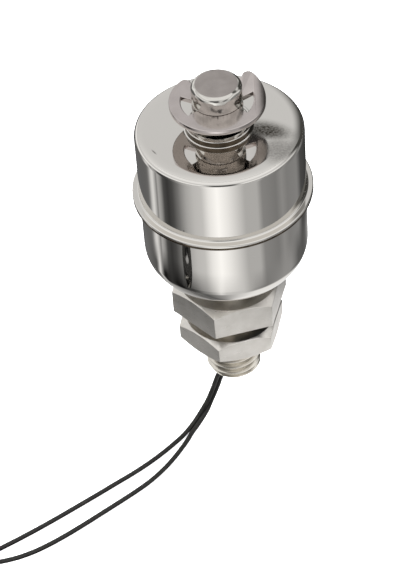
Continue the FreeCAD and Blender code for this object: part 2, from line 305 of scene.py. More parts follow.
def strand_tip(name, start, away):
    """Stripped end of a lead: six strands laid round a seventh, twisted and tinned."""
    strands_r, outer_strands, dip, lay, rings, sides = 0.00021, 6, 0.16, 0.0028, 40, 48
    side = away.cross(Vector((0, 0, 1)))
    form = bmesh.new()
    loops = []
    for k in range(rings + 1):
        along = tip_length * k / rings
        loop = []
        for n in range(sides):
            a = 2 * math.pi * n / sides
            lobe = abs(math.cos(outer_strands / 2 * (a - 2 * math.pi * along / lay)))
            out = side * math.cos(a) + Vector((0, 0, math.sin(a)))
            loop.append(form.verts.new(start + away * along + out * strands_r * (1 - dip + dip * lobe)))
        loops.append(loop)
    for one, other in zip(loops, loops[1:]):
        for n in range(sides):
            form.faces.new((one[n], one[(n + 1) % sides], other[(n + 1) % sides], other[n]))
    form.faces.new(loops[0])
    form.faces.new(loops[-1])
    tip = finish_piece(name, form, [tinned])
    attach(tip, "switch_body")
    return tip


signal_coil_base = bench + tie_thickness
return_coil_base = signal_coil_base + 2 * lead_d
for word, route, base, turned, lead_length in (
    ("signal", signal_route, signal_coil_base, 3154.0, signal_lead_length),
    ("return", return_route, return_coil_base, 3176.0, return_lead_length),
):
    lead, lead_end, away = lay_lead(f"{word}_lead", route, base, turned)
    tip = strand_tip(f"{word}_lead_tip", lead_end, away)
    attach(lead, "switch_body")
    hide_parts(f"lead_run_{word}", f"lead_coil_{word}", f"lead_tail_{word}")
    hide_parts(f"lead_tip_{word}")


# ---- Tie on the spare coil ----
# One band of black polyethylene, wrapped round both leads' turns and pulled snug.

tie_width, tie_angle = 1.6, 200.0
tie_inside = ((2.6, -31.7), (7.4, -31.7), (7.4, -28.05), (2.6, -28.05))
tie_round, band_thickness = 0.6, 0.29
mm = 0.001

# Moulded polyethylene: soft dark sheen with a faint ribbed skin
band_plastic, tree, shader, place = start_finish("moulded_black_polyethylene", "#1c1c1d", 0.0, 0.48)
ribs = add_node(
    tree,
    "ShaderNodeTexWave",
    {"Scale": rows(0.524), "Distortion": 1.5, "bands_direction": "Z"},
    {"Vector": place},
)
relief = add_node(
    tree, "ShaderNodeBump", {"Strength": 0.3, "Distance": 0.00002}, {"Height": ribs.outputs["Fac"]}
)
drive(shader, relief=relief)


def rounded(corners, per_corner=6):
    """Closed outline with arcs at its corners (x, y, radius). Without a radius a corner stays sharp."""
    outline = []
    count = len(corners)
    for k, corner in enumerate(corners):
        here = Vector(corner[:2])
        radius = corner[2] if len(corner) > 2 else 0
        if not radius:
            outline.append(here)
            continue
        back = (Vector(corners[k - 1][:2]) - here).normalized()
        on = (Vector(corners[(k + 1) % count][:2]) - here).normalized()
        half = back.angle(on) / 2
        center = here + (back + on).normalized() * radius / math.sin(half)
        start = here + back * radius / math.tan(half) - center
        sweep = start.angle_signed(here + on * radius / math.tan(half) - center)
        for n in range(per_corner + 1):
            outline.append(center + Matrix.Rotation(-sweep * n / per_corner, 2) @ start)
    return outline


def wrap_band():
    """The band's flat strip as a ring of cross sections round the bundle."""
    inside = rounded([(*corner, tie_round) for corner in tie_inside])
    middle = (Vector(tie_inside[0]) + Vector(tie_inside[2])) / 2
    turn = Matrix.Rotation(math.radians(tie_angle), 3, "Z")
    # Points of the section as shares of the band's thickness and width, with the outer edges eased
    section = ((0.0, -0.5), (0.0, 0.5), (0.72, 0.5), (1.0, 0.42), (1.0, -0.42), (0.72, -0.5))
    form = bmesh.new()
    loops = []
    for k, spot in enumerate(inside):
        outward = (inside[(k + 1) % len(inside)] - inside[k - 1]).normalized()
        outward = Vector((outward.y, -outward.x))
        if outward.dot(spot - middle) < 0:
            outward = -outward
        loop = []
        for out, across in section:
            flat = spot + outward * out * band_thickness
            co = turn @ Vector((flat.x, across * tie_width, flat.y))
            loop.append(form.verts.new(co * mm + coil_center))
        loops.append(loop)
    for k, loop in enumerate(loops):
        after = loops[(k + 1) % len(loops)]
        for n in range(len(section)):
            m = (n + 1) % len(section)
            form.faces.new((loop[n], loop[m], after[m], after[n]))
    return finish_piece("coil_tie_band", form, [band_plastic])


tie = wrap_band()
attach(tie, "switch_body")
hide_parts("coil_tie")


# ---- Bench, lamps and cards ----
# A white bench with soft lamps over it. Grey and black cards lie round the part, for the polished
# steel to mirror, and the sky above it is a white tent with a darker side towards the camera.

table = bpy.data.meshes.new("bench_top")
table.from_pydata([(-3, -3, bench), (3, -3, bench), (3, 3, bench), (-3, 3, bench)], [], [(0, 1, 2, 3)])
bench_top = bpy.data.objects.new("bench_top", table)
bpy.context.scene.collection.objects.link(bench_top)

paper = bpy.data.materials.new("white_paper")
paper.use_nodes = True
tree = paper.node_tree
tree.nodes.clear()
seen = add_node(tree, "ShaderNodeLightPath")
straight = add_node(
    tree,
    "ShaderNodeMath",
    {"operation": "MAXIMUM"},
    {0: seen.outputs["Is Camera Ray"], 1: seen.outputs["Is Transmission Ray"]},
)
straight = add_node(
    tree,
    "ShaderNodeMath",
    {"operation": "MAXIMUM"},
    {0: straight.outputs[0], 1: seen.outputs["Is Glossy Ray"]},
)
matt = add_node(tree, "ShaderNodeBsdfDiffuse", {"Color": linear("#e6e6e6")})
lift = add_node(tree, "ShaderNodeEmission", {"Color": (1, 1, 1, 1)}, {"Strength": straight.outputs[0]})
both = add_node(tree, "ShaderNodeAddShader", links={0: matt.outputs[0], 1: lift.outputs[0]})
add_node(tree, "ShaderNodeOutputMaterial", links={"Surface": both.outputs[0]})
table.materials.append(paper)

# What the cards show towards each side, from +X round to 360 degrees: (angle, tone). They lie in three
# rings: the near cards reach 52 mm out, the inner cards 71 mm, and the outer cards lie beyond them.
outer_cards = [
    (0, 0.27), (22, 0.29), (34, 0.08), (70, 0.03), (114, 0.12), (122, 0.14), (137, 0.14), (150, 0.15),
    (156, 0.17), (160, 0.32), (164, 0.71), (168, 0.91), (172, 0.60), (176, 0.25), (178, 0.54),
    (183, 0.37), (188, 0.09), (195, 0.05), (203, 0.09), (211, 0.22), (222, 0.50), (232, 0.66),
    (242, 0.72), (251, 1.08), (262, 1.33), (274, 1.09), (296, 0.55), (312, 0.55), (319, 0.31),
    (340, 0.25), (350, 0.34), (360, 0.27),
]
inner_cards = [
    (0, 0.36), (16, 0.14), (31, 0.11), (42, 0.14), (64, 0.50), (118, 0.13), (132, 0.17), (145, 0.16),
    (164, 0.11), (168, 0.44), (171, 1.03), (175, 0.38), (179, 0.02), (183, 0.01), (186, 0.03),
    (193, 0.04), (201, 0.01), (208, 0.01), (215, 0.06), (223, 0.06), (230, 0.12), (237, 0.25),
    (245, 0.37), (252, 0.58), (259, 0.94), (266, 0.74), (274, 0.72), (288, 0.72), (303, 0.40),
    (320, 0.25), (347, 0.36), (360, 0.36),
]
near_cards = [
    (0, 1.0), (60, 0.9), (110, 0.6), (170, 0.5), (205, 0.3), (238, 0.12), (262, 0.4), (285, 0.8),
    (310, 1.05), (360, 1.0),
]
brightest = 1.33
card = bpy.data.meshes.new("grey_cards")
card_z, card_r, card_sides = bench + 0.00004, 3.0, 48
rim = []
for k in range(card_sides):
    a = 2 * math.pi * k / card_sides
    rim.append((card_r * math.cos(a), card_r * math.sin(a), card_z))
card.from_pydata(rim, [], [tuple(range(card_sides))])
grey_cards = bpy.data.objects.new("grey_cards", card)
bpy.context.scene.collection.objects.link(grey_cards)
for ray in ("camera", "diffuse", "transmission", "shadow", "volume_scatter"):
    setattr(grey_cards, f"visible_{ray}", False)

card_finish = bpy.data.materials.new("grey_card")
card_finish.use_nodes = True
tree = card_finish.node_tree
tree.nodes.clear()
place = add_node(tree, "ShaderNodeTexCoord").outputs["Object"]
split = add_node(tree, "ShaderNodeSeparateXYZ", links={"Vector": place})
around = add_node(
    tree,
    "ShaderNodeMath",
    {"operation": "ARCTAN2"},
    {0: split.outputs["Y"], 1: split.outputs["X"]},
)
share = add_node(tree, "ShaderNodeMath", {"operation": "DIVIDE", 1: 2 * math.pi}, {0: around.outputs[0]})
share = add_node(tree, "ShaderNodeMath", {"operation": "FRACT"}, {0: share.outputs[0]})
reach = add_node(tree, "ShaderNodeVectorMath", {"operation": "LENGTH"}, {0: place})
# Each ring takes over from the one inside it between these two distances
card_rings = ((near_cards, 0, 0), (inner_cards, 0.049, 0.055), (outer_cards, 0.068, 0.074))
tones = None
for ring, last_out, first_out in card_rings:
    ramp = add_node(tree, "ShaderNodeValToRGB", links={"Fac": share.outputs[0]})
    set_ramp(ramp, [(angle / 360, tone / brightest) for angle, tone in ring])
    if tones is None:
        tones = ramp.outputs["Color"]
        continue
    past = add_node(
        tree,
        "ShaderNodeMapRange",
        {"From Min": last_out, "From Max": first_out},
        {"Value": reach.outputs["Value"]},
    )
    mixed = add_node(
        tree,
        "ShaderNodeMix",
        {"data_type": "RGBA"},
        {0: past.outputs["Result"], 6: tones, 7: ramp.outputs["Color"]},
    )
    tones = mixed.outputs[2]
glow = add_node(tree, "ShaderNodeEmission", {"Strength": brightest}, {"Color": tones})
add_node(tree, "ShaderNodeOutputMaterial", links={"Surface": glow.outputs[0]})
card.materials.append(card_finish)

tent = bpy.data.worlds.new("tent")
bpy.context.scene.world = tent
tent.use_nodes = True
tree = tent.node_tree
tree.nodes.clear()
way = add_node(tree, "ShaderNodeTexCoord").outputs["Generated"]
split = add_node(tree, "ShaderNodeSeparateXYZ", links={"Vector": way})
# Over the part from the far horizon (0) through the zenith (0.5) to the horizon behind the camera (1)
over = add_node(tree, "ShaderNodeMath", {"operation": "MAXIMUM", 1: 0.0}, {0: split.outputs["Z"]})
over = add_node(
    tree, "ShaderNodeMath", {"operation": "ARCTAN2"}, {0: over.outputs[0], 1: split.outputs["Y"]}
)
over = add_node(tree, "ShaderNodeMath", {"operation": "DIVIDE", 1: math.pi}, {0: over.outputs[0]})
arch = add_node(tree, "ShaderNodeValToRGB", links={"Fac": over.outputs[0]})
set_ramp(
    arch,
    [
        (0.0, 0.8), (0.24, 0.74), (0.3, 0.78), (0.4, 1.0), (0.62, 1.05), (0.79, 0.95), (0.84, 0.15),
        (0.96, 0.08), (1.0, 0.6),
    ],
)
# The sides by their height, from the horizon (0) to the zenith (1)
walls = add_node(tree, "ShaderNodeValToRGB", links={"Fac": split.outputs["Z"]})
set_ramp(walls, [(0.0, 0.35), (0.12, 1.0), (0.3, 1.15), (0.45, 0.7), (0.6, 0.8), (0.8, 1.1), (1.0, 0.95)])
aside = add_node(tree, "ShaderNodeMath", {"operation": "ABSOLUTE"}, {0: split.outputs["X"]})
aside = add_node(
    tree,
    "ShaderNodeMapRange",
    {"interpolation_type": "SMOOTHSTEP", "From Min": 0.16, "From Max": 0.45},
    {"Value": aside.outputs[0]},
)
tones = add_node(
    tree,
    "ShaderNodeMix",
    {"data_type": "RGBA"},
    {0: aside.outputs["Result"], 6: arch.outputs["Color"], 7: walls.outputs["Color"]},
)
# A dark screen stands behind the part on the right: each side of it fades in from start to end
screen_tone = (0.07, 0.07, 0.065, 1)
screen = []
for axis, start, end in (("X", 0.1, 0.34), ("Y", 0.1, 0.4), ("Z", 0.85, 0.6)):
    screen.append(
        add_node(
            tree,
            "ShaderNodeMapRange",
            {"interpolation_type": "SMOOTHSTEP", "From Min": start, "From Max": end},
            {"Value": split.outputs[axis]},
        )
    )
shade = add_node(
    tree,
    "ShaderNodeMath",
    {"operation": "MULTIPLY"},
    {0: screen[0].outputs["Result"], 1: screen[1].outputs["Result"]},
)
shade = add_node(
    tree,
    "ShaderNodeMath",
    {"operation": "MULTIPLY"},
    {0: shade.outputs[0], 1: screen[2].outputs["Result"]},
)
tones = add_node(
    tree,
    "ShaderNodeMix",
    {"data_type": "RGBA", 7: screen_tone},
    {0: shade.outputs[0], 6: tones.outputs[2]},
)
inside = add_node(tree, "ShaderNodeBackground", links={"Color": tones.outputs[2]})
white = add_node(tree, "ShaderNodeBackground", {"Color": (1, 1, 1, 1)})
seen = add_node(tree, "ShaderNodeLightPath")
straight = add_node(
    tree,
    "ShaderNodeMath",
    {"operation": "MAXIMUM"},
    {0: seen.outputs["Is Camera Ray"], 1: seen.outputs["Is Transmission Ray"]},
)
chosen = add_node(
    tree, "ShaderNodeMixShader", links={0: straight.outputs[0], 1: inside.outputs[0], 2: white.outputs[0]}
)
add_node(tree, "ShaderNodeOutputWorld", links={"Surface": chosen.outputs[0]})

for lamp_name, place_at, size, watts in (
    ("lamp_over", (-0.12, 0.10, 0.60), 0.30, 3.0),
    ("lamp_left", (-0.60, -0.25, 0.35), 0.35, 3.2),
    ("lamp_right", (0.55, -0.35, 0.40), 0.25, 1.6),
):
    soft = bpy.data.lights.new(lamp_name, "AREA")
    soft.shape = "DISK"
    soft.size = size
    soft.energy = watts
    lamp = bpy.data.objects.new(lamp_name, soft)
    lamp.location = place_at
    lamp.visible_glossy = False
    lamp.rotation_euler = Vector(place_at).to_track_quat("Z", "Y").to_euler()
    bpy.context.scene.collection.objects.link(lamp)


# ---- Hex fitting ----
# One piece of 304 stainless bar: a hex flange with its top corners chamfered in the lathe, and a
# threaded stub below it, bored through. The stem tube stands in its socket.

hex_across_flats, hex_height, hex_turn = 18.4, 5.8, 13.2
chamfer_slope, chamfer_land, edge_break = math.tan(math.radians(30)), 0.25, 0.14
thread_d, thread_root_d, thread_pitch, thread_length = 10.0, 8.16, 1.5, 16.7
thread_end_r, stub_bore_r, socket_r, socket_floor = 4.1, 3.0, 4.35, 0.8
bore_break, face_margin, merge_distance = 0.15, 0.01, 2e-6
thread_turns, thread_steps, profile_points, thread_top = 14, 96, 17, 0.3

# Satin-turned 304 stainless: warm grey, with fine marks of the mill along the flats and a soft sheen
satin_hex, tree, shader, place = start_finish("milled_304_stainless", "#dfdbd5", 1.0, 0.3)
stretch = add_node(
    tree, "ShaderNodeMapping", {"Scale": (cells(3.85), cells(3.85), cells(0.192))}, {"Vector": place}
)
marks = add_node(
    tree, "ShaderNodeTexNoise", {"Scale": 1.0, "Detail": 5.0}, {"Vector": stretch.outputs[0]}
)
cloud = add_node(tree, "ShaderNodeTexNoise", {"Scale": cells(2.38), "Detail": 3.0}, {"Vector": place})
shade = add_node(tree, "ShaderNodeValToRGB", links={"Fac": cloud.outputs["Fac"]})
set_ramp(shade, [(0.3, "#d8d4cd"), (0.7, "#e6e2dc")])
gloss = add_node(
    tree, "ShaderNodeMapRange", {"To Min": 0.2, "To Max": 0.42}, {"Value": marks.outputs["Fac"]}
)
relief = add_node(
    tree, "ShaderNodeBump", {"Strength": 0.35, "Distance": 0.00001}, {"Height": marks.outputs["Fac"]}
)
drive(shader, shade=shade, gloss=gloss, relief=relief)

# Rolled thread in the same steel: brighter crests, with fine lines round the stub
rolled, tree, shader, place = start_finish("rolled_thread_stainless", "#e4dfd5", 1.0, 0.2)
stretch = add_node(
    tree, "ShaderNodeMapping", {"Scale": (cells(3.33), cells(3.33), cells(0.111))}, {"Vector": place}
)
marks = add_node(
    tree, "ShaderNodeTexNoise", {"Scale": 1.0, "Detail": 4.0}, {"Vector": stretch.outputs[0]}
)
gloss = add_node(
    tree, "ShaderNodeMapRange", {"To Min": 0.12, "To Max": 0.3}, {"Value": marks.outputs["Fac"]}
)
relief = add_node(
    tree, "ShaderNodeBump", {"Strength": 0.25, "Distance": 0.00001}, {"Height": marks.outputs["Fac"]}
)
drive(shader, gloss=gloss, relief=relief)

# Painted shade on the underside of the bar: dark and dull, so the gap above the nut is black
gap_painted_shade, tree, shader, place = start_finish("hex_underside_painted_shade", "#24221f", 1.0, 0.5)
stretch = add_node(
    tree, "ShaderNodeMapping", {"Scale": (cells(1.11), cells(16.7), cells(16.7))}, {"Vector": place}
)
marks = add_node(
    tree, "ShaderNodeTexNoise", {"Scale": 1.0, "Detail": 4.0}, {"Vector": stretch.outputs[0]}
)
relief = add_node(
    tree, "ShaderNodeBump", {"Strength": 0.5, "Distance": 0.00002}, {"Height": marks.outputs["Fac"]}
)
drive(shader, relief=relief)


def hex_outline(across_flats, turn, corner_round=0.2, per_side=14):
    """Points round a hexagon with slightly broken corners, as (angle, radius)."""
    corner_r = across_flats / 2 / math.cos(math.pi / 6)
    corners = []
    for k in range(6):
        a = math.radians(turn + 60 * k)
        corners.append((corner_r * math.cos(a), corner_r * math.sin(a), corner_round))
    soft = rounded(corners, 4)
    outline = []
    for k, spot in enumerate(soft):
        outline.append(spot)
        after = soft[(k + 1) % len(soft)]
        if (after - spot).length > across_flats / 4:
            outline += [spot.lerp(after, n / per_side) for n in range(1, per_side)]
    return [(math.atan2(p.y, p.x), p.length) for p in outline]


def chamfered_hex(name, across_flats, bottom, top, turn, chamfer_bottom, bore, finishes):
    """Hexagon with coned ends round a turned bore. The bore is (radius, height) from top to bottom."""
    land = across_flats / 2 - chamfer_land
    form = bmesh.new()
    columns = []
    for angle, r in hex_outline(across_flats, turn):
        high = top - (r - land) * chamfer_slope
        outline = [(land, top, edge_break), (r, high, edge_break)]
        if chamfer_bottom:
            low = bottom + (r - land) * chamfer_slope
            outline += [(r, low, edge_break), (land, bottom, edge_break)]
        else:
            outline += [(r, bottom, edge_break)]
        outline += reversed(bore)
        column = []
        for spot in rounded(outline, 3):
            x, y = spot.x * math.cos(angle), spot.x * math.sin(angle)
            column.append(form.verts.new((x * mm, y * mm, spot.y * mm)))
        columns.append(column)
    for k, column in enumerate(columns):
        after = columns[(k + 1) % len(columns)]
        for n in range(len(column)):
            m = (n + 1) % len(column)
            face = form.faces.new((column[n], after[n], after[m], column[m]))
            middle = face.calc_center_median()
            underside = middle.z < (bottom + face_margin) * mm
            # On the half towards +X the underside carries painted shade, so the gap above the nut is
            # black there
            if len(finishes) > 1 and underside and middle.x > 0:
                face.material_index = 1
    return finish_piece(name, form, finishes, 30)


flange = chamfered_hex(
    "hex_flange",
    hex_across_flats,
    0.0,
    hex_height,
    hex_turn,
    False,
    [(socket_r, hex_height), (socket_r, socket_floor), (stub_bore_r, socket_floor), (stub_bore_r, 0.0)],
    # The second finish is painted shade on the flange's underside, over the nut
    [satin_hex, gap_painted_shade],
)
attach(flange, "switch_body")
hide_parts("hex_fitting")


def thread_tree():
    """Helical surface of a right-hand thread, trimmed to a length and coned at both ends."""
    tree = bpy.data.node_groups.new("rolled_thread", "GeometryNodeTree")
    tree.interface.new_socket("Geometry", in_out="OUTPUT", socket_type="NodeSocketGeometry")
    for name in ("Major Radius", "Minor Radius", "Pitch", "Bottom", "Top", "End Radius"):
        tree.interface.new_socket(name, in_out="INPUT", socket_type="NodeSocketFloat")
    for name in ("Turns", "Steps Per Turn"):
        tree.interface.new_socket(name, in_out="INPUT", socket_type="NodeSocketInt")
    tree.interface.new_socket("Finish", in_out="INPUT", socket_type="NodeSocketMaterial")
    sizes = add_node(tree, "NodeGroupInput").outputs
    steps = add_node(
        tree,
        "ShaderNodeMath",
        {"operation": "MULTIPLY_ADD", 2: 1.0},
        {0: sizes["Turns"], 1: sizes["Steps Per Turn"]},
    )
    grid = add_node(
        tree,
        "GeometryNodeMeshGrid",
        {"Size X": 1.0, "Size Y": 1.0, "Vertices Y": profile_points},
        {"Vertices X": steps.outputs[0]},
    )
    spot = add_node(
        tree,
        "ShaderNodeSeparateXYZ",
        links={"Vector": add_node(tree, "GeometryNodeInputPosition").outputs[0]},
    )
    along = add_node(tree, "ShaderNodeMath", {"operation": "ADD", 1: 0.5}, {0: spot.outputs["X"]})
    turned = add_node(
        tree, "ShaderNodeMath", {"operation": "MULTIPLY"}, {0: along.outputs[0], 1: sizes["Turns"]}
    )
    across = add_node(tree, "ShaderNodeMath", {"operation": "ADD", 1: 0.5}, {0: spot.outputs["Y"]})
    # Height: one pitch for each turn, plus the place across the profile, starting a pitch too low
    risen = add_node(
        tree, "ShaderNodeMath", {"operation": "ADD"}, {0: turned.outputs[0], 1: across.outputs[0]}
    )
    risen = add_node(tree, "ShaderNodeMath", {"operation": "SUBTRACT", 1: 1.0}, {0: risen.outputs[0]})
    height = add_node(
        tree,
        "ShaderNodeMath",
        {"operation": "MULTIPLY_ADD"},
        {0: risen.outputs[0], 1: sizes["Pitch"], 2: sizes["Bottom"]},
    )
    height = add_node(
        tree,
        "ShaderNodeClamp",
        links={"Value": height.outputs[0], "Min": sizes["Bottom"], "Max": sizes["Top"]},
    )
    # Radius: root, flank, crest, flank, with the corners partly rounded as rolling leaves them
    ridge = add_node(
        tree, "ShaderNodeMath", {"operation": "MULTIPLY_ADD", 1: 2.0, 2: -1.0}, {0: across.outputs[0]}
    )
    ridge = add_node(tree, "ShaderNodeMath", {"operation": "ABSOLUTE"}, {0: ridge.outputs[0]})
    ridge = add_node(tree, "ShaderNodeMath", {"operation": "SUBTRACT", 0: 1.0}, {1: ridge.outputs[0]})
    flank = {"From Min": 0.2, "From Max": 0.9, "To Min": 0.0, "To Max": 0.5}
    straight_flank = add_node(tree, "ShaderNodeMapRange", flank, {"Value": ridge.outputs[0]})
    soft_flank = add_node(
        tree,
        "ShaderNodeMapRange",
        {**flank, "interpolation_type": "SMOOTHSTEP"},
        {"Value": ridge.outputs[0]},
    )
    share = add_node(
        tree,
        "ShaderNodeMath",
        {"operation": "ADD"},
        {0: straight_flank.outputs[0], 1: soft_flank.outputs[0]},
    )
    radius = add_node(
        tree,
        "ShaderNodeMapRange",
        links={
            "Value": share.outputs[0],
            "To Min": sizes["Minor Radius"],
            "To Max": sizes["Major Radius"],
        },
    )
    # Ends: a cone at the bottom, where the stub was chamfered, and a run-out under the flange
    from_bottom = add_node(
        tree, "ShaderNodeMath", {"operation": "SUBTRACT"}, {0: height.outputs[0], 1: sizes["Bottom"]}
    )
    low_cone = add_node(
        tree, "ShaderNodeMath", {"operation": "ADD"}, {0: from_bottom.outputs[0], 1: sizes["End Radius"]}
    )
    from_top = add_node(
        tree, "ShaderNodeMath", {"operation": "SUBTRACT"}, {0: sizes["Top"], 1: height.outputs[0]}
    )
    high_cone = add_node(
        tree, "ShaderNodeMath", {"operation": "ADD"}, {0: from_top.outputs[0], 1: sizes["Minor Radius"]}
    )
    radius = add_node(
        tree, "ShaderNodeMath", {"operation": "MINIMUM"}, {0: radius.outputs[0], 1: low_cone.outputs[0]}
    )
    radius = add_node(
        tree, "ShaderNodeMath", {"operation": "MINIMUM"}, {0: radius.outputs[0], 1: high_cone.outputs[0]}
    )
    angle = add_node(
        tree, "ShaderNodeMath", {"operation": "MULTIPLY", 1: 2 * math.pi}, {0: turned.outputs[0]}
    )
    cosine = add_node(tree, "ShaderNodeMath", {"operation": "COSINE"}, {0: angle.outputs[0]})
    sine = add_node(tree, "ShaderNodeMath", {"operation": "SINE"}, {0: angle.outputs[0]})
    x = add_node(
        tree,
        "ShaderNodeMath",
        {"operation": "MULTIPLY"},
        {0: cosine.outputs[0], 1: radius.outputs[0]},
    )
    y = add_node(
        tree, "ShaderNodeMath", {"operation": "MULTIPLY"}, {0: sine.outputs[0], 1: radius.outputs[0]}
    )
    place = add_node(
        tree, "ShaderNodeCombineXYZ", links={"X": x.outputs[0], "Y": y.outputs[0], "Z": height.outputs[0]}
    )
    wound = add_node(
        tree,
        "GeometryNodeSetPosition",
        links={"Geometry": grid.outputs["Mesh"], "Position": place.outputs[0]},
    )
    joined = add_node(
        tree,
        "GeometryNodeMergeByDistance",
        {"Distance": merge_distance},
        {"Geometry": wound.outputs["Geometry"]},
    )
    real = add_node(tree, "GeometryNodeRealizeInstances", links={"Geometry": joined.outputs["Geometry"]})
    painted = add_node(
        tree,
        "GeometryNodeSetMaterial",
        links={"Geometry": real.outputs["Geometry"], "Material": sizes["Finish"]},
    )
    add_node(tree, "NodeGroupOutput", links={"Geometry": painted.outputs["Geometry"]})
    return tree


def grown_mesh(tree, sizes):
    """The plain mesh that a tree of nodes makes from these named sizes."""
    seed = bpy.data.objects.new(tree.name, bpy.data.meshes.new(tree.name))
    bpy.context.scene.collection.objects.link(seed)
    modifier = seed.modifiers.new(tree.name, "NODES")
    modifier.node_group = tree
    for item in tree.interface.items_tree:
        if item.in_out == "INPUT":
            modifier[item.identifier] = sizes[item.name]
    view = bpy.context.evaluated_depsgraph_get()
    mesh = bpy.data.meshes.new_from_object(seed.evaluated_get(view), depsgraph=view)
    bpy.data.objects.remove(seed)
    return mesh


def revolve(form, outline, steps, start=0.0):
    """Add a surface of revolution. The outline is (radius, height) in mm; a radius of 0 is a pole."""
    rings = []
    for r, z in outline:
        if r < 1e-6:
            rings.append([form.verts.new((0, 0, z * mm))] * steps)
            continue
        ring = []
        for k in range(steps):
            a = start + 2 * math.pi * k / steps
            ring.append(form.verts.new((r * mm * math.cos(a), r * mm * math.sin(a), z * mm)))
        rings.append(ring)
    return rings


def skin(form, rings, closed):
    """Faces between rings that follow each other, and from the last back to the first if closed."""
    pairs = list(zip(rings, rings[1:])) + ([(rings[-1], rings[0])] if closed else [])
    for one, other in pairs:
        for k in range(len(one)):
            m = (k + 1) % len(one)
            corners = list(dict.fromkeys((one[k], one[m], other[m], other[k])))
            if len(corners) > 2:
                form.faces.new(corners)


thread_mesh = grown_mesh(
    thread_tree(),
    {
        "Major Radius": thread_d / 2 * mm,
        "Minor Radius": thread_root_d / 2 * mm,
        "Pitch": thread_pitch * mm,
        "Bottom": -thread_length * mm,
        "Top": thread_top * mm,
        "End Radius": thread_end_r * mm,
        "Turns": thread_turns,
        "Steps Per Turn": thread_steps,
        "Finish": rolled,
    },
)
form = bmesh.new()
form.from_mesh(thread_mesh)
bore_rings = revolve(
    form,
    [
        (thread_root_d / 2, thread_top),
        (stub_bore_r, thread_top),
        (stub_bore_r, -thread_length + bore_break),
        (stub_bore_r + bore_break, -thread_length),
        (thread_end_r, -thread_length),
    ],
    thread_steps,
)
skin(form, bore_rings, False)
bmesh.ops.remove_doubles(form, verts=form.verts, dist=merge_distance)
bmesh.ops.dissolve_degenerate(form, edges=form.edges, dist=1e-7)
stub = finish_piece("threaded_stub", form, [rolled], 42)
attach(stub, "switch_body")


# ---- Stem ----
# Drawn stainless tube, closed by a solid tip that was faced and rounded in the lathe. A groove below
# the tip holds the stop clip, and a small weld joins the foot to the hex.

stem_r, stem_top, tip_round = 4.3, 50.0, 0.9
groove_r, groove_top, groove_bottom, groove_round = 3.8, 46.65, 45.55, 0.08
stem_bore_r, bore_straight, bore_end, foot_round = 3.3, 42.5, 44.5, 0.1
faced_depth, turned_steps, bead_ripples = 0.03, 160, 60.0

# Centreless-ground tube: bright, with fine lines round it that blur what it mirrors
ground, tree, shader, place = start_finish("ground_316_tube", "#d4d1cb", 1.0, 0.13)
stretch = add_node(
    tree, "ShaderNodeMapping", {"Scale": (cells(5.56), cells(5.56), cells(0.143))}, {"Vector": place}
)
lines = add_node(
    tree, "ShaderNodeTexNoise", {"Scale": 1.0, "Detail": 4.0}, {"Vector": stretch.outputs[0]}
)
gloss = add_node(
    tree, "ShaderNodeMapRange", {"To Min": 0.06, "To Max": 0.2}, {"Value": lines.outputs["Fac"]}
)
wave = add_node(tree, "ShaderNodeTexNoise", {"Scale": cells(3.03), "Detail": 1.0}, {"Vector": place})
swell = add_node(
    tree, "ShaderNodeBump", {"Strength": 0.8, "Distance": 0.001}, {"Height": wave.outputs["Fac"]}
)
relief = add_node(
    tree,
    "ShaderNodeBump",
    {"Strength": 0.2, "Distance": 0.00001},
    {"Height": lines.outputs["Fac"], "Normal": swell.outputs["Normal"]},
)
drive(shader, gloss=gloss, relief=relief)

# Faced tip: a duller grey, where the tool left fine rings round the middle
faced, tree, shader, place = start_finish("faced_316_tip", "#aca5a1", 1.0, 0.3)
stretch = add_node(tree, "ShaderNodeMapping", {"Scale": (1.0, 1.0, 0.0)}, {"Vector": place})
rings_made = add_node(
    tree,
    "ShaderNodeTexWave",
    {
        "wave_type": "RINGS",
        "rings_direction": "Z",
        "Scale": rows(0.121),
        "Distortion": 0.6,
        "Detail": 2.0,
    },
    {"Vector": stretch.outputs[0]},
)
cloud = add_node(tree, "ShaderNodeTexNoise", {"Scale": cells(2), "Detail": 4.0}, {"Vector": place})
shade = add_node(tree, "ShaderNodeValToRGB", links={"Fac": cloud.outputs["Fac"]})
set_ramp(shade, [(0.3, "#a59e9a"), (0.7, "#b3aca8")])
relief = add_node(
    tree,
    "ShaderNodeBump",
    {"Strength": 0.2, "Distance": 0.00001},
    {"Height": rings_made.outputs["Fac"]},
)
drive(shader, shade=shade, relief=relief)

stem_outline = [
    (stem_bore_r, socket_floor),
    (stem_r, socket_floor, foot_round),
    (stem_r, groove_bottom, groove_round),
    (groove_r, groove_bottom, groove_round),
    (groove_r, groove_top, groove_round),
    (stem_r, groove_top, groove_round),
    (stem_r, stem_top, tip_round),
    (0.0, stem_top),
    (0.0, bore_end),
    (stem_bore_r, bore_straight),
]
form = bmesh.new()
skin(form, revolve(form, rounded(stem_outline, 8), turned_steps), True)
for face in form.faces:
    if face.calc_center_median().z > (stem_top - faced_depth) * mm:
        face.material_index = 1
stem = finish_piece("stem_with_tip", form, [ground, faced])
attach(stem, "switch_body")
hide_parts("stem_tube")

# Fused bead: bright, with the ripples of the weld pool round it
bead, tree, shader, place = start_finish("tig_weld_bead", "#bdb8ae", 1.0, 0.25)
split = add_node(tree, "ShaderNodeSeparateXYZ", links={"Vector": place})
around = add_node(
    tree, "ShaderNodeMath", {"operation": "ARCTAN2"}, {0: split.outputs["Y"], 1: split.outputs["X"]}
)
ripple = add_node(
    tree, "ShaderNodeMath", {"operation": "MULTIPLY", 1: bead_ripples}, {0: around.outputs[0]}
)
ripple = add_node(tree, "ShaderNodeMath", {"operation": "SINE"}, {0: ripple.outputs[0]})
relief = add_node(
    tree, "ShaderNodeBump", {"Strength": 0.7, "Distance": 0.00005}, {"Height": ripple.outputs[0]}
)
drive(shader, relief=relief)
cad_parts["stem_weld"].data.materials.clear()
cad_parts["stem_weld"].data.materials.append(bead)


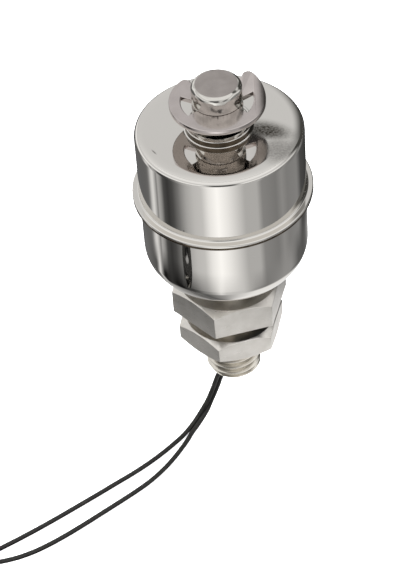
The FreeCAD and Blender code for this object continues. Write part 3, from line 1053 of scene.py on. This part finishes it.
# ---- Upper stop clip ----
# E-clip stamped from 1 mm spring steel strip, which rounds its edges on one side. It was pushed into
# the groove from behind, grips it with a wide tooth at its back and one at each side of its mouth, and
# stops the float.

clip_r, clip_band, clip_top, clip_thickness = 8.1, 2.0, 46.6, 1.0
tooth_r, tooth_width, tooth_angle, back_tooth_spread, mouth_width = 3.85, 3.4, 118.0, 106.0, 8.6
clip_turn = math.radians(89.0 - 180.0)
clip_edge = 0.14
arm_lift, arm_start, arm_end = 1.1, -60, 85
lift_start, lift_sweep, lift_share = -10, 55, 1.3

# Stamped and tumbled stainless spring strip: an even satin grey with tiny dents
tumbled, tree, shader, place = start_finish("tumbled_spring_stainless", "#c4bcb9", 1.0, 0.12)
dents = add_node(tree, "ShaderNodeTexNoise", {"Scale": cells(0.667), "Detail": 3.0}, {"Vector": place})
cloud = add_node(tree, "ShaderNodeTexNoise", {"Scale": cells(3.85), "Detail": 3.0}, {"Vector": place})
shade = add_node(tree, "ShaderNodeValToRGB", links={"Fac": cloud.outputs["Fac"]})
set_ramp(shade, [(0.3, "#beb6b3"), (0.7, "#cbc3c0")])
gloss = add_node(
    tree, "ShaderNodeMapRange", {"To Min": 0.08, "To Max": 0.17}, {"Value": cloud.outputs["Fac"]}
)
relief = add_node(
    tree, "ShaderNodeBump", {"Strength": 0.15, "Distance": 0.00002}, {"Height": dents.outputs["Fac"]}
)
drive(shader, shade=shade, gloss=gloss, relief=relief)


def arc_points(center, r, start, end, count):
    """Points on an arc, with both its ends, angles in degrees."""
    spots = []
    for k in range(count + 1):
        a = math.radians(start + (end - start) * k / count)
        spots.append(Vector((center[0] + r * math.cos(a), center[1] + r * math.sin(a))))
    return spots


def clip_outline():
    """The E-clip's outline: one half from its back to its mouth and back inside, then mirrored."""
    band_r = clip_r - clip_band
    end_round = clip_band / 2
    end_x = -math.sqrt((clip_r - end_round) ** 2 - (mouth_width / 2 + end_round) ** 2)
    end_center = (end_x, mouth_width / 2 + end_round)
    lobe = math.degrees(math.atan2(end_center[1], end_center[0]))
    half = arc_points((0, 0), clip_r, 0, lobe, 60) + arc_points(end_center, end_round, lobe, 270, 14)[1:]
    tip_spread = math.degrees(math.asin(tooth_width / 2 / tooth_r))
    root_spread = math.degrees(math.asin(tooth_width / 2 / band_r))
    half += arc_points((0, 0), tooth_r, tooth_angle + tip_spread, tooth_angle - tip_spread, 12)
    half += arc_points((0, 0), band_r, tooth_angle - root_spread, back_tooth_spread / 2, 18)
    half += arc_points((0, 0), tooth_r, back_tooth_spread / 2, 0, 16)
    return half + [Vector((p.x, -p.y)) for p in reversed(half[1:-1])]


flat = bpy.data.curves.new("stop_clip", "CURVE")
flat.dimensions = "2D"
flat.fill_mode = "BOTH"
line = flat.splines.new("POLY")
edge_points = clip_outline()
line.points.add(len(edge_points) - 1)
for point, spot in zip(line.points, edge_points):
    point.co = (spot.x * mm, spot.y * mm, 0, 1)
line.use_cyclic_u = True
flat.offset = -clip_edge * mm
flat.extrude = (clip_thickness / 2 - clip_edge) * mm
flat.bevel_depth = clip_edge * mm
flat.bevel_resolution = 2
blank = bpy.data.objects.new("stop_clip_blank", flat)
bpy.context.scene.collection.objects.link(blank)
view = bpy.context.evaluated_depsgraph_get()
stamped = bpy.data.meshes.new_from_object(blank.evaluated_get(view), depsgraph=view)
bpy.data.objects.remove(blank)
raised = Matrix.Translation((0, 0, (clip_top - clip_thickness / 2) * mm))
stamped.transform(raised @ Matrix.Rotation(clip_turn, 4, "Z"))
form = bmesh.new()
form.from_mesh(stamped)
bmesh.ops.remove_doubles(form, verts=form.verts, dist=merge_distance)
# One arm was sprung up a little when the clip was pushed on
for vert in form.verts:
    angle = math.degrees(math.atan2(vert.co.y, vert.co.x))
    out = (Vector(vert.co[:2]).length / mm - stem_r) / (clip_r - stem_r)
    if arm_start < angle < arm_end:
        vert.co.z += arm_lift * mm * ease((angle - lift_start) / lift_sweep) * ease(out * lift_share)
clip = finish_piece("stop_clip", form, [tumbled], 42)
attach(clip, "switch_body")
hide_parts("upper_stop_clip")


# ---- Lock nut ----
# Thin hex nut of the same steel, chamfered on both faces and at both mouths of its bore. It clamps
# the tank wall against the flange.

nut_across_flats, nut_height, nut_turn, nut_top = 17.0, 4.6, 14.2, -3.0
nut_bore_r, nut_mouth = 5.05, 0.6

nut = chamfered_hex(
    "thin_lock_nut",
    nut_across_flats,
    nut_top - nut_height,
    nut_top,
    nut_turn,
    True,
    [
        (nut_bore_r + nut_mouth, nut_top),
        (nut_bore_r, nut_top - nut_mouth),
        (nut_bore_r, nut_top - nut_height + nut_mouth),
        (nut_bore_r + nut_mouth, nut_top - nut_height),
    ],
    [satin_hex],
)
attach(nut, "lock_nut")
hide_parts("lock_nut")


# ---- Float ----
# Two deep-drawn cups of thin 316 sheet with out-turned lips, welded lip to lip round the seam, and a
# centre tube welded into their necks. The whole float was mirror-polished on a buffing wheel.

float_r, float_bottom, float_top, seam_z = 14.4, 10.2, 40.75, 27.2
wall, lip, lip_root, top_round, bottom_round = 0.5, 1.2, 0.4, 1.0, 5.1
tube_outer_r, tube_bore_r, neck_r, neck_round = 5.15, 4.75, 5.65, 0.3
neck_top, neck_bottom, joint_gap = 42.0, 9.5, 0.01
rim_round, lip_round, lip_inner_round, tube_edge = 0.16, 0.2, 0.1, 0.12
shoulder_slope, shoulder_round = math.tan(math.radians(13)), 9.0
upper_shoulder, lower_shoulder = 1.6, 6.5
cup_steps = 224

# Buffed 316 sheet: a clean mirror that the drawing left slightly wavy, with faint buffing lines
# The second colour is for the painted dark reflection on the top and for the scratch
buffed_shade, reflection_and_scratch_shade = "#dedbd6", "#3a352d"
mirror, tree, shader, place = start_finish("buffed_316_sheet", buffed_shade, 1.0, 0.045)
wave = add_node(tree, "ShaderNodeTexNoise", {"Scale": cells(14.3), "Detail": 1.0}, {"Vector": place})
stretch = add_node(
    tree, "ShaderNodeMapping", {"Scale": (cells(4.55), cells(4.55), cells(0.238))}, {"Vector": place}
)
buffing = add_node(
    tree, "ShaderNodeTexNoise", {"Scale": 1.0, "Detail": 5.0}, {"Vector": stretch.outputs[0]}
)
gloss = add_node(
    tree, "ShaderNodeMapRange", {"To Min": 0.01, "To Max": 0.055}, {"Value": buffing.outputs["Fac"]}
)
swell = add_node(
    tree, "ShaderNodeBump", {"Strength": 0.5, "Distance": 0.00012}, {"Height": wave.outputs["Fac"]}
)
relief = add_node(
    tree,
    "ShaderNodeBump",
    {"Strength": 0.06, "Distance": 0.00001},
    {"Height": buffing.outputs["Fac"], "Normal": swell.outputs["Normal"]},
)
# A painted dark reflection beside the neck with a fainter painted one in front of it, and a short scratch
# on the other
# side of the top: middle and reach in mm, turn in degrees, strength
top_reflection_and_scratch = (
    ((7.90, -1.85), (6.8, 3.4), -24, 1.0),
    ((9.49, -7.01), (5.2, 5.0), 0, 0.55),
    ((-11.01, -5.45), (1.1, 0.22), -58, 0.7),
)
mark_depth = 2.0
grain = add_node(tree, "ShaderNodeTexNoise", {"Scale": cells(0.385), "Detail": 3.0}, {"Vector": place})
reflection_and_scratch_mask = None
for middle, spread, turned, strength in top_reflection_and_scratch:
    spot = add_node(
        tree,
        "ShaderNodeMapping",
        {
            "vector_type": "TEXTURE",
            "Location": Vector((*middle, float_top)) * mm,
            "Rotation": (0, 0, math.radians(turned)),
            "Scale": Vector((*spread, mark_depth)) * mm,
        },
        {"Vector": place},
    )
    away = add_node(tree, "ShaderNodeVectorMath", {"operation": "LENGTH"}, {0: spot.outputs[0]})
    patch = add_node(
        tree,
        "ShaderNodeMapRange",
        {"interpolation_type": "SMOOTHERSTEP", "From Min": 1.0, "From Max": 0.1, "To Max": strength},
        {"Value": away.outputs["Value"]},
    )
    if reflection_and_scratch_mask is None:
        reflection_and_scratch_mask = patch
        continue
    reflection_and_scratch_mask = add_node(
        tree, "ShaderNodeMath", {"operation": "MAXIMUM"}, {0: reflection_and_scratch_mask.outputs[0], 1: patch.outputs[0]}
    )
speckle = add_node(
    tree,
    "ShaderNodeMapRange",
    {"From Min": 0.35, "From Max": 0.65, "To Min": 0.72},
    {"Value": grain.outputs["Fac"]},
)
reflection_and_scratch_mask = add_node(
    tree,
    "ShaderNodeMath",
    {"operation": "MULTIPLY"},
    {0: reflection_and_scratch_mask.outputs[0], 1: speckle.outputs["Result"]},
)
# The painted dark reflection and the scratch darken the mirror's colour here
tinge = add_node(
    tree,
    "ShaderNodeMix",
    {"data_type": "RGBA", 6: linear(buffed_shade), 7: linear(reflection_and_scratch_shade)},
    {0: reflection_and_scratch_mask.outputs[0]},
)
dulled = add_node(
    tree,
    "ShaderNodeMath",
    {"operation": "MULTIPLY_ADD", 1: 0.25},
    {0: reflection_and_scratch_mask.outputs[0], 2: gloss.outputs["Result"]},
)
tree.links.new(tinge.outputs[2], shader.inputs["Base Color"])
tree.links.new(dulled.outputs[0], shader.inputs["Roughness"])
drive(shader, relief=relief)

# Painted dark reflection round the foot of each neck, and darker steel along the seam. The neck's band
# begins a little under the neck's rim, and the seam's takes the outermost edge of the lower lip.
reflection_below_rim, reflection_in, reflection_out, dark_on_lip = 0.3, 0.1, 0.05, 0.12
neck_reflection_and_seam_dark, tree, shader, place = start_finish("painted_neck_reflection_and_dark_seam", "#4d443a", 1.0, 0.24)
cloud = add_node(tree, "ShaderNodeTexNoise", {"Scale": cells(1.11), "Detail": 3.0}, {"Vector": place})
shade = add_node(tree, "ShaderNodeValToRGB", links={"Fac": cloud.outputs["Fac"]})
set_ramp(shade, [(0.3, "#3b332a"), (0.7, "#675c4f")])
drive(shader, shade=shade)


def cup_outline(end_z, neck_end, shoulder, corner):
    """Closed outline of one cup's sheet, from its neck over its corner to its lip and back inside."""
    s = 1 if end_z > seam_z else -1
    lip_r = float_r + lip
    return rounded(
        [
            (tube_outer_r + joint_gap, neck_end),
            (neck_r, neck_end, rim_round),
            (neck_r, end_z, neck_round),
            (float_r - shoulder, end_z, shoulder_round),
            (float_r, end_z - s * shoulder * shoulder_slope, corner),
            (float_r, seam_z + s * wall, lip_root),
            (lip_r, seam_z + s * wall, lip_round),
            (lip_r, seam_z + s * joint_gap, lip_inner_round),
            (float_r - wall, seam_z + s * joint_gap),
            (float_r - wall, end_z - s * wall, corner - wall),
            (tube_outer_r + joint_gap, end_z - s * wall),
        ],
        14,
    )


for name, node, end_z, neck_end, shoulder, corner in (
    ("float_upper_cup", "float_upper_shell", float_top, neck_top, upper_shoulder, top_round),
    ("float_lower_cup", "float_lower_shell", float_bottom, neck_bottom, lower_shoulder, bottom_round),
):
    form = bmesh.new()
    skin(form, revolve(form, cup_outline(end_z, neck_end, shoulder, corner), cup_steps), True)
    for face in form.faces:
        middle = face.calc_center_median()
        out = Vector(middle[:2]).length / mm
        below = abs(neck_end - middle.z / mm)
        at_neck = below > reflection_below_rim and tube_outer_r + reflection_in < out < neck_r + reflection_out
        at_seam = end_z < seam_z and out > float_r + lip - dark_on_lip
        # Painted dark reflection at the necks, and a darker outer edge on the lower lip
        if at_neck or at_seam:
            face.material_index = 1
    cup = finish_piece(name, form, [mirror, neck_reflection_and_seam_dark])
    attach(cup, "float")
    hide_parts(node)

form = bmesh.new()
tube_outline = rounded(
    [
        (tube_bore_r, neck_bottom, tube_edge),
        (tube_outer_r, neck_bottom, tube_edge),
        (tube_outer_r, neck_top, tube_edge),
        (tube_bore_r, neck_top, tube_edge),
    ],
    4,
)
skin(form, revolve(form, tube_outline, turned_steps), True)
tube = finish_piece("float_guide_tube", form, [ground])
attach(tube, "float")
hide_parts("float_center_tube")


# ---- Magnet and its retainers, inside the float ----
# Pressed and sintered ferrite ring, held on the centre tube between two thin spun steel discs.

# Sintered ferrite: matt charcoal with a fine grain
ferrite, tree, shader, place = start_finish("sintered_ferrite", "#3a3a3d", 0.0, 0.75)
grain = add_node(tree, "ShaderNodeTexNoise", {"Scale": cells(0.455), "Detail": 6.0}, {"Vector": place})
shade = add_node(tree, "ShaderNodeValToRGB", links={"Fac": grain.outputs["Fac"]})
set_ramp(shade, [(0.3, "#2f2f32"), (0.7, "#48484b")])
relief = add_node(
    tree, "ShaderNodeBump", {"Strength": 0.5, "Distance": 0.00003}, {"Height": grain.outputs["Fac"]}
)
drive(shader, shade=shade, relief=relief)

for node, finish, body_slot in (
    ("ring_magnet", ferrite, "ferrite"),
    ("magnet_retainer_lower", tumbled, "steel_satin"),
    ("magnet_retainer_upper", tumbled, "steel_satin"),
):
    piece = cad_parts[node]
    piece.data.materials.clear()
    piece.data.materials.append(finish)


# ---- Reed switch, splices and potting, inside the stem ----
# Nickel-iron blades sealed in a glass capsule, in a clear sleeve, crimped to the leads. Black epoxy
# fills the stem and the stub's bore up to just inside its end.

# Drawn glass: clear, faintly green, with slight draw lines
capsule_glass, tree, shader, place = start_finish("drawn_reed_glass", "#dcebdc", 0.0, 0.04)
shader.inputs["Transmission Weight"].default_value = 1.0
shader.inputs["IOR"].default_value = 1.5
draw = add_node(tree, "ShaderNodeTexNoise", {"Scale": cells(1.25), "Detail": 1.0}, {"Vector": place})
relief = add_node(
    tree, "ShaderNodeBump", {"Strength": 0.1, "Distance": 0.00002}, {"Height": draw.outputs["Fac"]}
)
drive(shader, relief=relief)

# Plated nickel-iron: warm silver, evenly dull
reed_alloy, tree, shader, place = start_finish("plated_nickel_iron", "#c8bfae", 1.0, 0.32)
plating = add_node(tree, "ShaderNodeTexNoise", {"Scale": cells(0.556), "Detail": 3.0}, {"Vector": place})
gloss = add_node(
    tree, "ShaderNodeMapRange", {"To Min": 0.25, "To Max": 0.42}, {"Value": plating.outputs["Fac"]}
)
drive(shader, gloss=gloss)

# Shrunk polyolefin sleeve: clear, slightly milky, with soft wrinkles
shrink, tree, shader, place = start_finish("clear_shrink_sleeve", "#e9ece8", 0.0, 0.2)
shader.inputs["Transmission Weight"].default_value = 0.85
shader.inputs["IOR"].default_value = 1.5
folds = add_node(tree, "ShaderNodeTexNoise", {"Scale": cells(1.43), "Detail": 2.0}, {"Vector": place})
relief = add_node(
    tree, "ShaderNodeBump", {"Strength": 0.3, "Distance": 0.00003}, {"Height": folds.outputs["Fac"]}
)
drive(shader, relief=relief)

# Cast black epoxy: deep and glossy, with a surface that set slightly uneven
epoxy, tree, shader, place = start_finish("cast_black_epoxy", "#141416", 0.0, 0.18)
set_wave = add_node(tree, "ShaderNodeTexNoise", {"Scale": cells(1.67), "Detail": 2.0}, {"Vector": place})
gloss = add_node(
    tree, "ShaderNodeMapRange", {"To Min": 0.12, "To Max": 0.32}, {"Value": set_wave.outputs["Fac"]}
)
relief = add_node(
    tree,
    "ShaderNodeBump",
    {"Strength": 0.35, "Distance": 0.00004},
    {"Height": set_wave.outputs["Fac"]},
)
drive(shader, gloss=gloss, relief=relief)

for node, finish, body_slot in (
    ("reed_glass", capsule_glass, "glass"),
    ("reed_blade_lower", reed_alloy, "reed_alloy"),
    ("reed_blade_upper", reed_alloy, "reed_alloy"),
    ("reed_sleeve", shrink, "clear_sleeve"),
    ("splice_signal", tinned, "tinned_metal"),
    ("splice_return", tinned, "tinned_metal"),
    ("inner_lead_signal", insulation, "lead_insulation"),
    ("inner_lead_return", insulation, "lead_insulation"),
    ("potting", epoxy, "potting"),
):
    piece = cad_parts[node]
    piece.data.materials.clear()
    piece.data.materials.append(finish)
